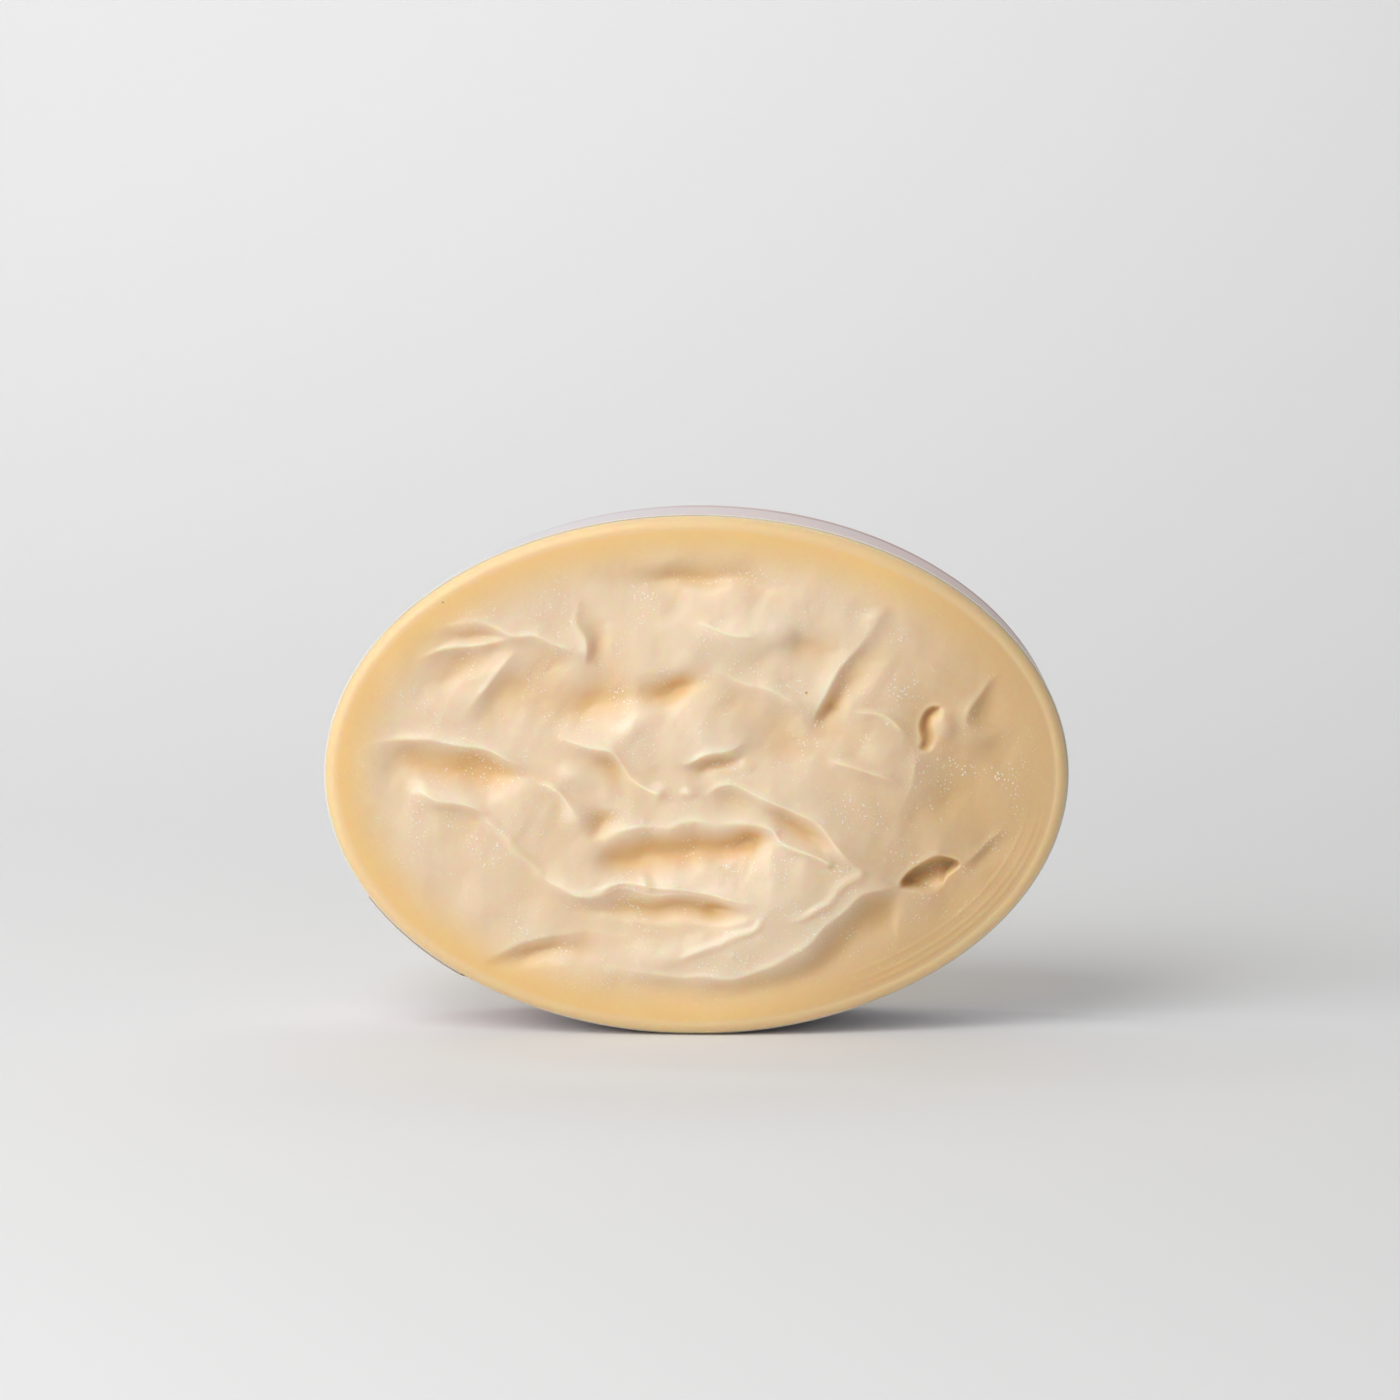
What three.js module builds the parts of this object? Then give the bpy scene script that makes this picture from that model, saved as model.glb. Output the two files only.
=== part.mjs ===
// Shaving soap puck: an oval bar of hand-poured soap in a printed paper band.
//
// Millimetres, +Z up. The bar stands on its long edge, so X runs along it, Y through its thickness and Z along
// its shorter axis. The poured, swirled face looks along -Y, and the flat face that the mould made along +Y.
// The origin is on the ground, under the middle of the bar.

import * as THREE from 'three';

// The cast bar.
const HALF_LENGTH = 45;
const HALF_HEIGHT = 31.5;
const THICKNESS = 25;
const FRONT_FILLET = 1.2;
const BACK_FILLET = 1.5;
const FILLET_STEPS = 4;

// The poured face: a smooth lip all round, a slope inside it, and a swirled middle that stays below the lip.
const LIP_INSET = 1.8;
const SLOPE_WIDTH = 5;
const DISH_DEPTH = 1.7;
const SHALLOWEST = 0.15;
const FACE_RINGS = 18;

// The paper band, which is wrapped once round the edge and glued where its ends overlap.
const PAPER_THICKNESS = 0.3;
const PAPER_CLEARANCE = 0.1;
const BAND_FRONT_SETBACK = 3;
const BAND_BACK_SETBACK = 1.5;
const SEAM_FACET = 58;
const OVERLAP_FACETS = 6;

// The glue inside the overlap.
const GLUE_THICKNESS = 0.1;
const GLUE_CLEARANCE = 0.05;
const GLUE_MARGIN_FACETS = 1;
const GLUE_MARGIN_WIDTH = 2;

// The oval is cut into flat facets, one of which lies level at the very bottom.
const FACETS = 96;
const FACET_ANGLE = 2 * Math.PI / FACETS;

const FRONT = -THICKNESS / 2;
const BACK = THICKNESS / 2;
const PLY_STEP = PAPER_THICKNESS + GLUE_THICKNESS + 2 * GLUE_CLEARANCE;
const BAND_BOTTOM = (HALF_HEIGHT + PAPER_CLEARANCE + PAPER_THICKNESS) * Math.cos(FACET_ANGLE / 2);

// The swirls of the poured face, in millimetres from its middle. A ridge stands out and a furrow goes in, by
// height, along a line of [x, z] points, and fades out over reach on both sides of it.
const SWIRLS = [
  { height: -1.3, reach: 3.0, line: [[-4.6, 24.0], [1.0, 24.6], [6.8, 24.0]] },
  { height: 0.9, reach: 2.4, line: [[-29.5, 19.3], [-23.1, 18.4], [-14.4, 15.0]] },
  { height: 1.1, reach: 2.2, line: [[-13.5, 21.5], [-13.8, 14.0]] },
  { height: 0.8, reach: 2.2, line: [[-20.6, 15.6], [-26.1, 10.6], [-28.0, 8.6]] },
  { height: -0.9, reach: 2.6, line: [[-14.0, 10.2], [-2.7, 10.7]] },
  { height: 0.9, reach: 2.2, line: [[-38.4, 4.5], [-29.2, 3.3], [-23.1, 1.8]] },
  { height: 0.9, reach: 2.2, line: [[-15.3, 4.1], [-10.7, 3.0], [-4.6, -1.9]] },
  { height: 0.8, reach: 2.2, line: [[-36.9, -4.0], [-31.9, -1.3], [-24.6, -5.4]] },
  { height: 1.0, reach: 2.4, line: [[-18.1, -12.8], [-5.8, -13.0], [7.5, -15.5]] },
  { height: -0.8, reach: 2.6, line: [[-10.7, -16.6], [5.3, -17.0]] },
  { height: -0.9, reach: 3.4, line: [[-10.7, -8.6], [8.9, -8.0]] },
  { height: 1.0, reach: 2.2, line: [[2.4, -1.4], [7.4, -1.6], [14.5, -4.9], [20.0, -11.5]] },
  { height: 1.2, reach: 2.6, line: [[25.0, -13.9], [16.7, -18.8], [9.9, -23.2], [-1.4, -23.8]] },
  { height: -1.6, reach: 2.8, line: [[26.8, -11.9], [30.6, -11.0]] },
  { height: -1.3, reach: 2.4, line: [[28.0, 6.0], [30.6, 7.6]] },
  { height: 1.1, reach: 2.4, line: [[22.6, 20.9], [17.0, 14.6], [12.6, 8.2]] },
  { height: -1.0, reach: 2.2, line: [[22.4, 17.0], [18.4, 12.0], [15.6, 6.4]] },
  { height: 0.7, reach: 3.6, line: [[3.0, 17.4], [12.0, 17.8]] },
  { height: -0.7, reach: 2.4, line: [[-23.7, -22.0], [-18.5, -19.8], [-10.7, -19.4]] },
];

const soapWax = new THREE.MeshStandardMaterial({ color: 0xe8c8a0, roughness: 0.4, metalness: 0 });
const printedPaper = new THREE.MeshStandardMaterial({ color: 0xddccd4, roughness: 0.8, metalness: 0 });
const driedGlue = new THREE.MeshStandardMaterial({ color: 0xe9e4d2, roughness: 0.5, metalness: 0 });

function named(name, geometry, material) {
  const mesh = new THREE.Mesh(geometry, material);
  mesh.name = name;
  return mesh;
}

// How far one swirl lifts the face at (x, z): a bell across the swirl's line.
function swirlLift({ height, reach, line }, x, z) {
  const place = new THREE.Vector3(x, z, 0);
  const nearest = new THREE.Vector3();
  let distance = Infinity;
  for (let i = 1; i < line.length; i += 1) {
    const start = new THREE.Vector3(...line[i - 1], 0);
    const end = new THREE.Vector3(...line[i], 0);
    new THREE.Line3(start, end).closestPointToPoint(place, true, nearest);
    distance = Math.min(distance, nearest.distanceTo(place));
  }
  return height * Math.exp(-((distance / reach) ** 2));
}

// How far the face lies below its lip at (x, z), inset millimetres inside the lip.
function faceDepth(x, z, inset) {
  const inside = THREE.MathUtils.smoothstep(inset, 0, SLOPE_WIDTH);
  const lift = SWIRLS.reduce((sum, swirl) => sum + swirlLift(swirl, x, z), 0);
  const middle = Math.max(SHALLOWEST, DISH_DEPTH - lift);
  return inside * middle;
}

// A quarter round from start degrees on, about (radius, depth).
function fillet(radius, depth, size, start) {
  const points = [];
  for (let step = 0; step <= FILLET_STEPS; step += 1) {
    const angle = THREE.MathUtils.degToRad(start + 90 * step / FILLET_STEPS);
    points.push(new THREE.Vector2(radius + size * Math.cos(angle), depth + size * Math.sin(angle)));
  }
  return points;
}

// Half of the bar's section along its length, from the middle of the poured face round to the middle of the back.
function barProfile() {
  const lip = HALF_LENGTH - LIP_INSET;
  const face = [];
  for (let ring = 0; ring <= FACE_RINGS; ring += 1) {
    face.push(new THREE.Vector2(lip * ring / FACE_RINGS, FRONT));
  }
  return [
    ...face,
    ...fillet(HALF_LENGTH - FRONT_FILLET, FRONT + FRONT_FILLET, FRONT_FILLET, -90),
    ...fillet(HALF_LENGTH - BACK_FILLET, BACK - BACK_FILLET, BACK_FILLET, 0),
    new THREE.Vector2(0, BACK),
  ];
}

// The section is turned about the Y axis, and each ring is then drawn in to its oval. The rings at the edge keep
// their distance from the outline, and those inside the lip shrink evenly towards the middle.
function makeBar() {
  const geometry = new THREE.LatheGeometry(barProfile(), FACETS, FACET_ANGLE / 2);
  const position = geometry.getAttribute('position');
  const lip = HALF_LENGTH - LIP_INSET;
  const lipHeight = HALF_HEIGHT - LIP_INSET;
  for (let i = 0; i < position.count; i += 1) {
    const radius = Math.hypot(position.getX(i), position.getZ(i));
    const height = radius > lip ? HALF_HEIGHT - (HALF_LENGTH - radius) : radius * lipHeight / lip;
    const x = position.getX(i);
    const z = radius > 0 ? position.getZ(i) * height / radius : 0;
    position.setX(i, x);
    position.setZ(i, z);
    if (position.getY(i) === FRONT && radius < lip) {
      const inset = (lip - radius) * lipHeight / lip;
      position.setY(i, FRONT + faceDepth(x, z, inset));
    }
  }
  return geometry;
}

// The point of the bar's outline at a facet's corner, moved outwards by offset.
function outlinePoint(corner, offset) {
  const angle = (corner + 0.5) * FACET_ANGLE;
  const outwards = new THREE.Vector2(Math.sin(angle) / HALF_LENGTH, Math.cos(angle) / HALF_HEIGHT).normalize();
  return new THREE.Vector2(
    HALF_LENGTH * Math.sin(angle) + offset * outwards.x,
    HALF_HEIGHT * Math.cos(angle) + offset * outwards.y,
  );
}

// A strip that follows the outline from one corner to another, as thick as it says, between two depths.
function makeStrip(first, last, offsetAt, thickness, front, back) {
  const inner = [];
  const outer = [];
  for (let corner = first; corner <= last; corner += 1) {
    inner.push(outlinePoint(corner, offsetAt(corner)));
    outer.push(outlinePoint(corner, offsetAt(corner) + thickness));
  }
  const section = new THREE.Shape([...outer, ...inner.reverse()]);
  const geometry = new THREE.ExtrudeGeometry(section, { depth: back - front, bevelEnabled: false });
  return geometry.rotateX(Math.PI / 2).translate(0, back, 0);
}

// One strip of paper: it lies on the bar for a whole turn, and its end steps up over its own beginning.
function makeBand() {
  const overlapStart = SEAM_FACET + FACETS;
  const offsetAt = (corner) => PAPER_CLEARANCE + (corner < overlapStart - 1 ? 0 : PLY_STEP);
  const front = FRONT + BAND_FRONT_SETBACK;
  const back = BACK - BAND_BACK_SETBACK;
  return makeStrip(SEAM_FACET, overlapStart + OVERLAP_FACETS, offsetAt, PAPER_THICKNESS, front, back);
}

function makeGlue() {
  const first = SEAM_FACET + GLUE_MARGIN_FACETS;
  const last = SEAM_FACET + OVERLAP_FACETS - GLUE_MARGIN_FACETS;
  const offset = PAPER_CLEARANCE + PAPER_THICKNESS + GLUE_CLEARANCE;
  const front = FRONT + BAND_FRONT_SETBACK + GLUE_MARGIN_WIDTH;
  const back = BACK - BAND_BACK_SETBACK - GLUE_MARGIN_WIDTH;
  return makeStrip(first, last, () => offset, GLUE_THICKNESS, front, back);
}

const puck = new THREE.Group();
puck.add(named('soap_puck', makeBar(), soapWax));

const band = new THREE.Group();
band.add(named('paper_band', makeBand(), printedPaper));
band.add(named('band_glue', makeGlue(), driedGlue));

const part = new THREE.Group();
part.position.z = BAND_BOTTOM;
part.add(puck, band);

export default part;
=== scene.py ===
"""A shaving soap puck: an oval bar of poured soap, standing on its edge in a printed paper band.

The bar's poured face looks along -Y. Its swirls are modelled one by one, from lines laid out in millimetres
from the middle of the face. Shapes are worked out in millimetres and made in metres, in the frame of the
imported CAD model.
"""

import math

import bpy
import numpy as np
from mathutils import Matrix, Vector


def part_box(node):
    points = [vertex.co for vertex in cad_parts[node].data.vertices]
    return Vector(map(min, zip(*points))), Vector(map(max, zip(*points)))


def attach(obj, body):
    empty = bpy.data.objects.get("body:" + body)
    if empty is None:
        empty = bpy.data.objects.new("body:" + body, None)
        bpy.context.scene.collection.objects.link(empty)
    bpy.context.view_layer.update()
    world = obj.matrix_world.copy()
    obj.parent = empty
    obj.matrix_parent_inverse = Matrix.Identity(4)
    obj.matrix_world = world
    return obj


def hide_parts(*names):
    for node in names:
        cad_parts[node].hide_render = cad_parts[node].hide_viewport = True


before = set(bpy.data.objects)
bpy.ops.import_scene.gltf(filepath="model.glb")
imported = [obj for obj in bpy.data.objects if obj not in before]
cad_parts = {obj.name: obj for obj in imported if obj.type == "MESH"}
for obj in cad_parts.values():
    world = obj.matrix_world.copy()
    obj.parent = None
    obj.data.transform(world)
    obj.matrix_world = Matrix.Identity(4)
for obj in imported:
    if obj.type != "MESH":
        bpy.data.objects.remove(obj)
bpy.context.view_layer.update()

MM = 0.001

# ---------------------------------------------------------------- the bar, from its CAD solid, in mm

BAR_LOW, BAR_HIGH = (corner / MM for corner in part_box("soap_puck"))
BAND_LOW, BAND_HIGH = (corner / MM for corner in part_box("paper_band"))
HALF_LENGTH = (BAR_HIGH.x - BAR_LOW.x) / 2
HALF_HEIGHT = (BAR_HIGH.z - BAR_LOW.z) / 2
MIDDLE_Z = (BAR_HIGH.z + BAR_LOW.z) / 2
FRONT = BAR_LOW.y
BACK = BAR_HIGH.y

FRONT_FILLET = 1.4
BACK_FILLET = 1.5

# The back sinks towards its middle, over this share of the way there.
BACK_SINK = 0.12
BACK_SINK_SHARE = 0.25

# The flat rim lies behind the front of the bar's box, so that the swirls can rise in front of it. The whole
# face falls further back between two places along a direction, which is in degrees from +X towards +Z.
RIM_DEPTH = 1.5
FALL_DEPTH = 2.4
FALL_DIRECTION = -20
FALL_START = 11.0
FALL_END = 41.0

# Inside the rim the swirls grow over the width of a slope, which leads down into a shallow dish. A swirl that
# comes nearer to the front of the bar's box than twice the easing depth slows down and never reaches it.
SLOPE_WIDTH = 7.0
DISH_DEPTH = 0.5
EASING_DEPTH = 0.12

# The fine lines round the lower right rim: how far inside it each lies, and the two places where they fade in
# and out, each as a start and a length in degrees from +X, clockwise.
MOULD_LINES = (0.9, 1.7, 2.9)
MOULD_LINE_REACH = 0.17
MOULD_LINE_HEIGHT = 0.07
MOULD_LINES_IN = (5, 12)
MOULD_LINES_OUT = (54, 14)

# The soap's colour follows the shape. The face is all that lies less than FACE_LIMIT behind the box's front.
# Its cream starts a little inside the rim and is full after a width, and the rounded rim edge is paler over
# another width. Hollows are found against the mean height within a reach, on a grid; they are painted in
# shade.
FACE_LIMIT = 7
CREAM_START = 0.5
CREAM_WIDTH = 6.0
PALE_RIM_WIDTH = 0.5
# Painted shade: how strongly the side where the face falls back, on the right, is turned amber.
SHADE_FROM_FALL = 1.2
# The swirls' own height also feeds the painted shade in the hollows, and the paler crests.
COLOUR_FROM_RELIEF = 0.35
HOLLOW_REACH = 3.2
GRID_STEP = 0.4

# How finely the bar is cut.
CORNERS = 720
FACE_RINGS = 225
FRONT_FILLET_RINGS = 12
WALL_RINGS = 8
BACK_FILLET_RINGS = 10
BACK_RINGS = 20

# ---------------------------------------------------------------- the paper band and the glue, in mm

PAPER_GAP = 0.03
PAPER_THICKNESS = 0.16
BAND_BEHIND_RIM = 0.25

# The paper waves a little in and out. Its edges have a setback, which wanders by a share of itself. Each of
# these random ripples has a height or share, a seed and a size.
PAPER_WAVE = 0.003
PAPER_WAVES = (PAPER_WAVE, 11, 16.0)
PAPER_SETBACK = 0.10
PAPER_FRONT_WANDER = (0.5, 21, 28.0)
PAPER_BACK_WANDER = (0.5, 22, 28.0)

# The seam: angles are in degrees from the top towards +X.
SEAM_START = 219.4
SEAM_OVERLAP = 22.5
SEAM_RISE = 1.6

# The glue stays a margin inside the overlap, in degrees, and a setback inside the band's edges.
FILM_THICKNESS = 0.04
FILM_GAP = 0.02
FILM_MARGIN = 2.5
FILM_SETBACK = 2.0
FILM_FRONT_WANDER = (0.5, 31, 5.0)
FILM_BACK_WANDER = (0.5, 32, 5.0)

# About how far one radian reaches round the outline, for the waves of the paper and for its edges.
WAVE_ARC = 35
EDGE_ARC = 38

BAND_STEPS = 820
FILM_STEPS = 60
STRIP_ROWS = 24
SHARP_ANGLE = 40

# ---------------------------------------------------------------- the swirls of the poured face

# Lines are in mm from the middle of the face, x to the right and z up. A wave rises over back millimetres to
# its crest, which is its line, and on the line's right-hand side falls towards its trough, steeply at first,
# within about drop. The trough runs out over run. The fall is sharp at the crest where edge is 1 and round
# where it is 2. The wave fades out over the first and the last millimetres of the line that fade says.
WAVES = [
    # upper left
    dict(line=[(-33, 17.6), (-30.5, 18.9), (-28, 19.3), (-24.5, 18.7), (-21.8, 17.4), (-19, 16.9),
               (-17, 16.2), (-15.4, 15.1), (-14.0, 13.6)],
         crest=0.20, trough=0.20, back=2.4, drop=1.3, run=5.0, edge=1.3, fade=(7.5, 3)),
    dict(line=[(-13.7, 12.8), (-13.6, 15.0), (-13.6, 18.0), (-14.4, 22.5)],
         crest=0.20, trough=0.50, back=3.5, drop=1.1, run=3.6, edge=1.4, fade=(2.5, 7)),
    dict(line=[(-34.5, 14.3), (-31, 14.9), (-28, 15.4), (-25, 16.2), (-22, 17.1)],
         crest=0.17, trough=0.20, back=1.6, drop=1.0, run=4.0, edge=1.3, fade=(4.5, 3.8)),
    dict(line=[(-29.5, 6.7), (-27, 9.3), (-25, 11.3), (-23, 13.5), (-21, 15.8)],
         crest=0.12, trough=0.32, back=2.6, drop=1.6, run=6.0, edge=1.5, fade=(6, 3.8)),
    dict(line=[(-41, 3.8), (-37, 4.3), (-33, 4.2), (-29, 3.6), (-25.5, 2.9), (-22, 2.1), (-19.5, 1.2)],
         crest=0.20, trough=0.50, back=2.2, drop=1.3, run=6.5, edge=1.3, fade=(9, 5)),
    # top
    dict(line=[(-12, 24.4), (-5, 25.3), (1, 25.6), (7, 25.3), (14, 24.0)],
         crest=0.0, trough=0.15, back=0.5, drop=2.0, run=6.0, edge=2.0, fade=(8, 8)),
    # middle
    dict(line=[(-17.2, 4.7), (-14.5, 3.9), (-12, 3.3), (-10, 2.8), (-8.6, 1.5), (-7.4, -0.3), (-6, -1.6),
               (-4.0, -2.5)],
         crest=0.18, trough=0.22, back=2.0, drop=1.1, run=4.0, edge=1.3, fade=(3.8, 2.2)),
    dict(line=[(-20, -1), (-18.2, -1.4), (-16.6, -2.1), (-15.2, -3.3), (-13.7, -4.9)],
         crest=0.14, trough=0.14, back=1.5, drop=0.9, run=3.0, edge=1.3, fade=(3, 1.8)),
    dict(line=[(-2.4, 1.3), (0.2, 2.6), (2.2, 3.3), (5.6, 4.1)],
         crest=0.20, trough=0.28, back=1.6, drop=1.0, run=3.5, edge=1.3, fade=(3, 3)),
    dict(line=[(-15, -8.4), (-9, -6.8), (-4, -6.0), (0, -5.6), (4, -5.5), (7.5, -6.0), (10.5, -7.2)],
         crest=0.12, trough=0.85, back=3.0, drop=1.9, run=8.0, edge=1.8, fade=(9, 3)),
    dict(line=[(0.8, -2.1), (3, -1.3), (5, -1.15), (7.5, -1.8), (10, -2.9), (12.5, -4), (14.6, -5.4),
               (16.6, -7.5), (18.3, -9.6), (19.6, -11.8)],
         crest=0.20, trough=0.26, back=2.4, drop=1.2, run=4.5, edge=1.3, fade=(3, 3)),
    dict(line=[(7.8, -5.9), (9.4, -6.8), (10.3, -7.8), (12.3, -8.9), (14.8, -9.9), (17.4, -11.0)],
         crest=0.20, trough=0.14, back=1.4, drop=0.9, run=3.0, edge=1.3, fade=(2.2, 2.2)),
    # upper right
    dict(line=[(1.6, 13.2), (5, 12), (7.5, 11), (10, 9.9), (12, 8.7), (13.6, 7.6)],
         crest=0.15, trough=0.25, back=2.5, drop=1.3, run=5.0, edge=1.3, fade=(5.2, 3)),
    dict(line=[(14.4, 6.2), (14.8, 8.6), (15.8, 10.8), (17.4, 13.2), (19.2, 15.6), (20.9, 17.9),
               (22.4, 20.2), (23.8, 23.0)],
         crest=0.22, trough=0.70, back=3.5, drop=1.0, run=4.6, edge=1.5, fade=(2.5, 20)),
    dict(line=[(19, 8.0), (21.5, 7.3), (23.5, 6.5), (26, 5.2)],
         crest=0.13, trough=0.10, back=1.2, drop=0.8, run=3.0, edge=1.3, fade=(3, 2.2)),
    dict(line=[(15.6, 2.6), (18.4, 1.3), (20.4, 0.6), (22.6, 0), (25, -1.1)],
         crest=0.14, trough=0.16, back=1.5, drop=1.0, run=4.0, edge=1.3, fade=(3, 3)),
    dict(line=[(23.6, -7), (25.2, -3), (26.2, 0), (26.5, 1.8), (25.8, 4.2)],
         crest=0.15, trough=0.30, back=4.5, drop=3.0, run=9.0, edge=2.0, fade=(9, 4.5)),
    dict(line=[(26.7, 3.0), (27.2, 4.7), (27.0, 6.2), (27.5, 7.5), (28.6, 8.3), (30.2, 8.3)],
         crest=0.05, trough=0.75, back=1.0, drop=0.55, run=2.0, edge=1.5, fade=(1.4, 1.4)),
    dict(line=[(32.5, 5.4), (32.9, 7.4), (34, 9.4), (35.5, 11.2), (38, 13.6)],
         crest=0.14, trough=0.34, back=2.4, drop=1.1, run=4.4, edge=1.4, fade=(3, 5)),
    # lower left
    dict(line=[(-36, -3.0), (-33.8, -2.0), (-32.2, -2.2), (-30.5, -2.9), (-28, -3.4), (-26.2, -4.0),
               (-24.4, -5.2)],
         crest=0.20, trough=0.12, back=2.2, drop=1.0, run=4.0, edge=1.3, fade=(4.5, 3)),
    dict(line=[(-30.5, -25.0), (-25, -22), (-21.5, -20.3), (-17.5, -19.3), (-13, -19.0), (-7, -19.8)],
         crest=0.10, trough=0.55, back=4.0, drop=1.6, run=5.0, edge=1.8, fade=(7, 12)),
    # bottom
    dict(line=[(-20.5, -11.4), (-17, -13.3), (-13.5, -14.0), (-9.5, -13.7), (-5.8, -13.2), (-2, -13.7),
               (2, -14.2), (5, -14.7), (8.4, -15.4)],
         crest=0.28, trough=0.20, back=3.0, drop=1.2, run=4.0, edge=1.4, fade=(7.5, 5)),
    # lower right
    dict(line=[(-14, -22.8), (-6, -24.0), (0, -24.6), (4, -24.4), (8, -23.4), (11, -22.0), (13.8, -20.0),
               (16, -17.8), (18, -15.9), (20.4, -14.3), (23.4, -13.4), (26, -13.4)],
         crest=0.25, trough=0.62, back=5.0, drop=1.9, run=8.0, edge=1.7, fade=(14, 4)),
    dict(line=[(24.9, -13.8), (25.6, -11.9), (27.4, -10.2), (29.6, -9.4), (31.4, -9.7), (32.2, -10.6)],
         crest=0.04, trough=1.40, back=1.0, drop=0.75, run=4.0, edge=1.5, fade=(1.4, 1.0)),
    dict(line=[(31.6, -10.8), (34, -9.0), (35.6, -7.8), (38.2, -5.8)],
         crest=0.08, trough=0.20, back=2.0, drop=0.8, run=3.0, edge=1.4, fade=(2, 3.8)),
]

# A ridge is the same on both sides: it falls off as a bell, reach millimetres wide.
RIDGES = [
    dict(line=[(-25.6, -5.0), (-24.0, -6.7), (-22.6, -7.9), (-21.2, -9.4), (-19.6, -11.3),
               (-18.2, -12.7)],
         height=0.10, reach=0.6, fade=(1.5, 1.5)),
    dict(line=[(19.8, -10.6), (19.5, -12.0), (18.4, -12.9), (17.2, -13.7), (16.4, -14.7), (14.6, -15.9),
               (12.3, -17.4), (10.4, -18.6)],
         height=0.13, reach=0.6, fade=(1, 4)),
    dict(line=[(7.8, -16.6), (7.2, -18.0), (5.0, -19.2), (2.4, -20.4), (0.0, -21.5), (-2.6, -22.3)],
         height=0.12, reach=0.5, fade=(1.5, 3)),
    dict(line=[(-17, -13.9), (-13, -14.3), (-8, -14.2), (-3, -14.3), (2, -14.7)],
         height=0.05, reach=0.16, fade=(3, 3)),
    dict(line=[(-15, -13.6), (-11, -13.6), (-7.5, -13.2)],
         height=0.04, reach=0.14, fade=(2, 2)),
    dict(line=[(0.0, 18.5), (3.8, 17.8), (7.6, 17.0)],
         height=0.07, reach=0.35, fade=(2, 2)),
    dict(line=[(20.2, 17.6), (21.6, 19.4), (22.6, 21.2)],
         height=0.10, reach=0.7, fade=(2, 2)),
]

# A mound is a smooth oval bump, and a negative height makes it a hollow. turn is in degrees, anticlockwise.
MOUNDS = [
    dict(middle=(-13.5, 9.0), size=(9.5, 2.8), turn=3, height=-0.50),
    dict(middle=(-3.0, 10.6), size=(3.4, 1.6), turn=18, height=-0.50),
    dict(middle=(-1.0, 4.5), size=(9.0, 4.5), turn=0, height=0.30),
    dict(middle=(10.0, -17.0), size=(8.0, 4.5), turn=35, height=0.35),
    dict(middle=(4.0, 17.5), size=(13.0, 5.0), turn=3, height=0.30),
    dict(middle=(10.0, 4.5), size=(5.0, 3.0), turn=-15, height=-0.30),
    dict(middle=(16.2, 6.4), size=(2.4, 1.6), turn=-30, height=-0.25),
    dict(middle=(-8.2, 6.4), size=(2.4, 1.6), turn=20, height=0.35),
    dict(middle=(-4.6, -2.0), size=(1.2, 1.0), turn=0, height=0.20),
    dict(middle=(-0.6, -1.8), size=(1.0, 0.7), turn=0, height=0.14),
    dict(middle=(7.0, 17.9), size=(5.0, 1.8), turn=-4, height=0.20),
    dict(middle=(13.6, 15.8), size=(3.4, 1.6), turn=-8, height=-0.28),
    dict(middle=(-30.5, -2.2), size=(4.6, 1.8), turn=-10, height=0.22),
    dict(middle=(-14.0, -5.0), size=(1.4, 1.3), turn=0, height=0.30),
    dict(middle=(-11.4, -5.9), size=(1.9, 1.6), turn=60, height=-0.42),
    dict(middle=(-6.0, -12.9), size=(0.6, 0.9), turn=20, height=0.18),
    dict(middle=(6.0, -8.0), size=(2.6, 1.2), turn=8, height=-0.35),
    dict(middle=(13.0, -6.2), size=(3.6, 1.1), turn=-24, height=-0.28),
    dict(middle=(16.4, -10.7), size=(0.5, 0.4), turn=0, height=0.12),
    dict(middle=(-2.6, -21.4), size=(6.5, 1.9), turn=8, height=0.30),
    dict(middle=(-0.5, 24.4), size=(6.5, 1.5), turn=0, height=-0.50),
    dict(middle=(29.9, 6.1), size=(1.2, 1.4), turn=0, height=0.30),
    dict(middle=(-27.5, 0.6), size=(7.0, 1.9), turn=-8, height=-0.34),
    dict(middle=(-18.5, 12.4), size=(4.5, 2.6), turn=20, height=-0.26),
    dict(middle=(-27.0, 17.3), size=(4.0, 0.9), turn=2, height=-0.20),
    dict(middle=(-28.5, 12.6), size=(4.5, 1.6), turn=25, height=-0.24),
    dict(middle=(14.0, -12.0), size=(16.0, 11.0), turn=0, height=0.35),
    dict(middle=(-11.0, 14.5), size=(3.0, 5.0), turn=0, height=-0.20),
    dict(middle=(-10.0, 1.0), size=(3.2, 1.2), turn=-20, height=-0.24),
    dict(middle=(2.6, 1.8), size=(3.6, 1.0), turn=14, height=-0.22),
    dict(middle=(-20.5, -21.8), size=(4.6, 1.2), turn=24, height=-0.30),
    dict(middle=(-3.0, -9.6), size=(9.0, 1.6), turn=4, height=-0.26),
    dict(middle=(-15.5, 0.4), size=(2.4, 1.6), turn=-10, height=0.20),
    dict(middle=(23.5, 2.5), size=(2.6, 3.4), turn=10, height=0.22),
]

# A pit has a steep rim: it is oval, and its floor rises from the full depth at its top edge.
PITS = [
    dict(middle=(-3.4, -16.3), size=(10.2, 1.9), turn=-1, depth=0.55, wall=0.9, tilt=0.5),
    dict(middle=(3.0, -16.7), size=(3.2, 1.7), turn=-2, depth=0.32, wall=0.8, tilt=0.4),
]

SWIRL_HEIGHT = 2.7
WAVE_KEYS = ("crest", "trough", "back", "drop", "run", "edge")
WAVE_BACK_POWER = 2.2
CURVE_STEP = 0.35

# A thin lip stands on every crest.
LIP_HEIGHT = 0.028
LIP_REACH = 0.32

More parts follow.
